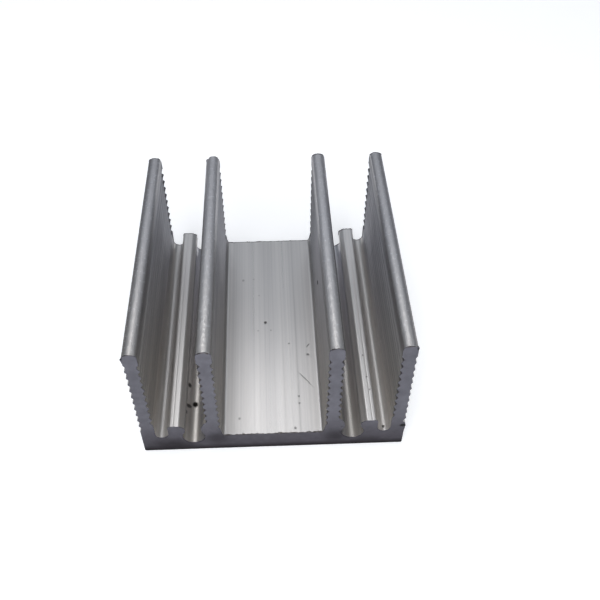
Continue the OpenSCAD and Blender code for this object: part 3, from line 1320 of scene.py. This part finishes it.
@dataclass(frozen=True)
class SawnFinish:
    """Aluminium as the saw leaves it: duller, darker partly as painted shade, with faint marks of the blade.
    """

    # The end faces' dark colour is partly painted shade
    colour: Colour = (0.147, 0.145, 0.167, 1)
    low_colour: Colour = (0.068, 0.062, 0.075, 1)
    edge_colour: Colour = (0.013, 0.01, 0.014, 1)
    mark_colour: Colour = (0.01, 0.008, 0.01, 1)
    notch_shade_colour: Colour = (0.03, 0.02, 0.022, 1)
    roughness: float = 0.5
    # Passages in millimetres of painted shade: darker down the base, near black over the brink at its bottom,
    # and darker out to the sides
    rise: Ramp = Ramp(0.0, 11.0)
    brink: Ramp = Ramp(0.3, 1.6, 1, 0)
    far: Ramp = Ramp(11.0, 19.0, 1, 0.92, smooth=False)
    blade: Grain = Grain(1800, 3, 0.6, (0.05, 1, 1))
    blade_relief: Pair = (0.2, 0.05)
    grain: Grain = Grain(900, 3, 0.6)
    cloud: Grain = Grain(260, 2, shift=(0.2, 0.1, 0.4))
    mottled: Ramp = Ramp(0.3, 0.7, 0.9, 1.1, smooth=False)
    notch_pitch: float = 1.555
    notch_span: Pair = (8.0, 21.9)
    # Painted shade at the notches: each face's notch bottom and strength
    shaded_notch_faces: tuple[Pair, ...] = ((-10.33, 0.85), (8.62, 0.6), (10.33, 0.5), (19.07, 0.5))
    notch_shade_core: float = 0.08
    notch_shade_reach: float = 0.3
    # Patches of painted shade low on the sawn end
    low_shade_fray: Pair = (2.0, 400)
    low_shade_patches: tuple[Mark, ...] = (
        front_patch(-16.2, 1.2, 5.4, 3.2, 0.72, 0.15, 2),
        front_patch(-9.0, 3.0, 3.0, 2.6, 0.55, 0.1, 2),
        front_patch(10.2, 2.6, 3.4, 3.2, 0.6, 0.1, 2),
        front_patch(15.0, 0.8, 4.5, 1.8, 0.4, 0.1, 2),
    )
    # Dark spots: burrs at the outer tips' corners, painted shade at the right slot's outer edge and beside
    # its lip, and a spot at the right outer fin's dent
    burr_and_shade_spot_fray: Pair = (0.3, 4000)
    burr_and_shade_spots: tuple[Mark, ...] = (
        front_patch(20.65, 5.05, 0.6, 0.5, 1.0, 0.5, 1),
        front_patch(14.4, 3.9, 0.3, 0.5, 0.7, 0.3, 1),
        front_patch(10.95, 5.2, 0.3, 0.3, 0.5, 0.3, 1),
        front_patch(20.9, 24.4, 0.3, 0.45, 0.7, 0.3, 1),
        front_patch(-21.0, 24.2, 0.3, 0.5, 0.7, 0.3, 1),
    )

    def notch_shade(self, graph: Graph, across: Socket, up: Socket) -> Socket:
        """Painted shade at the notches of some fins' faces, as dark spots on the sawn end.

        The height is wrapped into one pitch about the nearest notch. A face's share
        falls with the distance from the notch's bottom, and is nothing above or below
        its notches.

        Args:
            graph: The material's graph.
            across: X in metres.
            up: Z in metres.

        Returns:
            The greatest share of all faces.
        """
        low, high = (end * MM for end in self.notch_span)
        half = self.notch_pitch * MM / 2
        rise = graph.math("WRAP", graph.less(up, high), half, -half)
        inside = graph.product(graph.math("GREATER_THAN", up, low), graph.math("LESS_THAN", up, high + half))
        shares = []
        for face, strength in self.shaded_notch_faces:
            away = graph.node("ShaderNodeCombineXYZ")
            graph.feed(away.inputs["X"], graph.less(across, face * MM))
            graph.feed(away.inputs["Z"], rise)
            off = graph.vector("LENGTH", away.outputs[0]).outputs["Value"]
            shares.append(graph.remap(off, Ramp(self.notch_shade_core, self.notch_shade_reach, strength, 0), MM))
        return graph.product(graph.greatest(*shares), inside)

    def material(self) -> bpy.types.Material:
        """Builds the node material.

        Returns:
            The material.
        """
        graph = Graph("sawn_aluminium")
        across, _, up = graph.axes()
        # Painted shade: darker towards the bottom, and near black at the bottom edge
        tone = graph.mix(graph.remap(up, self.rise, MM), self.low_colour, self.colour)
        tone = graph.mix(graph.remap(up, self.brink, MM), tone, self.edge_colour)
        # Patches of painted shade low on the sawn end
        tone = graph.mix(graph.marks(self.low_shade_patches, graph.frayed(*self.low_shade_fray)), tone, self.edge_colour)
        # Burr spots and painted shade spots
        tone = graph.mix(graph.marks(self.burr_and_shade_spots, graph.frayed(*self.burr_and_shade_spot_fray)), tone, self.mark_colour)
        # Painted shade at the notches
        tone = graph.mix(self.notch_shade(graph, across, up), tone, self.notch_shade_colour)
        grain, cloud = (graph.remap(graph.noise(kind), self.mottled) for kind in (self.grain, self.cloud))
        # Random mottling, and painted shade darker out to the sides
        shade = graph.product(grain, cloud, graph.remap(graph.math("ABSOLUTE", across), self.far, MM))
        return graph.metal({
            "Base Color": graph.shaded(tone, shade),
            "Metallic": 1.0,
            "Roughness": self.roughness,
            "Normal": graph.bump(graph.noise(self.blade), self.blade_relief),
        })


@dataclass(frozen=True)
class BurrAndEdgeShadeFinish:
    """The burr that the saw drags over an edge: thin, torn and dark; on the upward front edges of the tips
    and the floor its dark colour is painted shade.
    """

    colour: Colour = (0.055, 0.045, 0.043, 1)
    bare_and_glint_colour: Colour = (0.16, 0.15, 0.155, 1)
    metallic: float = 0.9
    roughness: float = 0.55
    torn: Grain = Grain(1400, 2, 0.6)
    torn_span: Ramp = Ramp(0.42, 0.62, smooth=False)
    torn_relief: Pair = (0.3, 0.05)

    def material(self) -> bpy.types.Material:
        """Builds the node material.

        Returns:
            The material.
        """
        graph = Graph("saw_burr_and_edge_shade")
        torn = graph.noise(self.torn)
        return graph.metal({
            "Base Color": graph.mix(graph.remap(torn, self.torn_span), self.colour, self.bare_and_glint_colour),
            "Metallic": self.metallic,
            "Roughness": self.roughness,
            "Normal": graph.bump(torn, self.torn_relief),
        })


@dataclass(frozen=True)
class Panel:
    """A soft rectangular light: its middle and size in metres, and how bright its face is."""

    name: str
    place: Triple
    size: Pair
    radiance: float
    tilt: float = 0.0
    colour: Triple = (1.0, 1.0, 1.0)

    def build(self) -> bpy.types.Object:
        """Adds the lamp, facing down and tilted about X.

        Its power is the radiance times pi times its area.

        Returns:
            The lamp.
        """
        data = bpy.data.lights.new(self.name, "AREA")
        data.shape = "RECTANGLE"
        data.size, data.size_y = self.size
        data.energy = self.radiance * math.pi * self.size[0] * self.size[1]
        data.color = self.colour
        lamp = bpy.data.objects.new(self.name, data)
        lamp.location = self.place
        lamp.rotation_euler = Euler((math.radians(self.tilt), 0, 0))
        bpy.context.scene.collection.objects.link(lamp)
        return lamp


@dataclass(frozen=True)
class Studio:
    """The plain floor, the soft lights and the world."""

    floor_size: float = 6.0
    floor_colour: Colour = (0.93, 0.93, 0.93, 1)
    floor_lift: float = 0.36
    world_colour: Colour = (0.13, 0.145, 0.17, 1)
    panels: tuple[Panel, ...] = (
        Panel("core_panel", (-0.035, -0.105, 0.32), (0.13, 0.69), 1.42, colour=(0.99, 0.99, 1.0)),
        Panel("wide_panel", (-0.03, 0.025, 0.33), (0.52, 0.95), 0.4, colour=(0.88, 0.925, 1.0)),
        Panel("front_panel", (0.0, -0.42, 0.36), (0.6, 0.4), 2.4, tilt=48, colour=(0.98, 0.99, 1.0)),
    )

    def floor(self) -> bpy.types.Object:
        """A plain pale floor just under the part."""
        half = self.floor_size / 2
        mesh = bpy.data.meshes.new("floor")
        corners = [(-half, -half, 0), (half, -half, 0), (half, half, 0), (-half, half, 0)]
        mesh.from_pydata(corners, [], [(0, 1, 2, 3)])
        graph = Graph("floor_paper")
        plain = graph.node("ShaderNodeBsdfDiffuse")
        plain.inputs["Color"].default_value = self.floor_colour
        path = graph.node("ShaderNodeLightPath")
        rays = ("Camera", "Glossy", "Transmission")
        seen = graph.greatest(*(path.outputs[f"Is {ray} Ray"] for ray in rays))
        glow = graph.node("ShaderNodeEmission")
        glow.inputs["Color"].default_value = (1, 1, 1, 1)
        graph.feed(glow.inputs["Strength"], graph.product(seen, self.floor_lift))
        both = graph.node("ShaderNodeAddShader")
        graph.feed(both.inputs[0], plain.outputs[0])
        graph.feed(both.inputs[1], glow.outputs[0])
        mesh.materials.append(graph.finish(both))
        plane = bpy.data.objects.new("floor", mesh)
        bpy.context.scene.collection.objects.link(plane)
        return plane

    def world(self) -> None:
        """A plain cool grey world."""
        world = bpy.data.worlds.new("room")
        world.use_nodes = True
        world.node_tree.nodes["Background"].inputs["Color"].default_value = self.world_colour
        bpy.context.scene.world = world

    def build(self) -> None:
        """Sets up the floor, the panels and the world."""
        self.floor()
        for panel in self.panels:
            panel.build()
        self.world()


@dataclass(frozen=True)
class Viewpoint:
    """The camera: where it stands, in millimetres, and how it is turned, in degrees."""

    place: Triple = (0.64, -89.03, 108.12)
    down: float = 47.53
    turn: float = 1.64
    roll: float = 0.52
    lens: float = 45.63
    sensor: float = 36.0
    shift_x: float = 0.02

    def build(self) -> bpy.types.Object:
        """Adds the camera and makes it the scene's own.

        Returns:
            The camera.
        """
        data = bpy.data.cameras.new("camera")
        data.lens = self.lens
        data.sensor_width = self.sensor
        data.shift_x = self.shift_x
        data.clip_start = 0.001
        camera = bpy.data.objects.new("camera", data)
        heading = Matrix.Rotation(-math.radians(self.turn), 4, "Z")
        pitch = Matrix.Rotation(math.radians(90 - self.down), 4, "X")
        roll = Matrix.Rotation(-math.radians(self.roll), 4, "Z")
        camera.matrix_world = Matrix.Translation(Vector(self.place) * MM) @ heading @ pitch @ roll
        bpy.context.scene.collection.objects.link(camera)
        bpy.context.scene.camera = camera
        return camera


def main() -> None:
    """Builds the scene in order: camera, metal, studio."""
    logging.basicConfig(level=logging.INFO, format="%(name)s: %(message)s")
    bpy.context.scene.view_settings.view_transform = "Standard"
    low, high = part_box(NODE)
    size = (Vector(high) - Vector(low)) / MM
    Viewpoint().build()
    section = Section(width=size.x, height=size.z)
    metal = HeatSinkBody(section, length=size.y, dents=DENTS)
    finishes = {
        Zone.SKIN: MillFinish().material(),
        Zone.SAWN: SawnFinish().material(),
        Zone.BURR: BurrAndEdgeShadeFinish().material(),
    }
    body = metal.build(finishes)
    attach(body, "root")
    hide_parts(NODE)
    log.info("%s: %d faces", body.name, len(body.data.polygons))
    Studio().build()


if __name__ == "__main__":
    main()
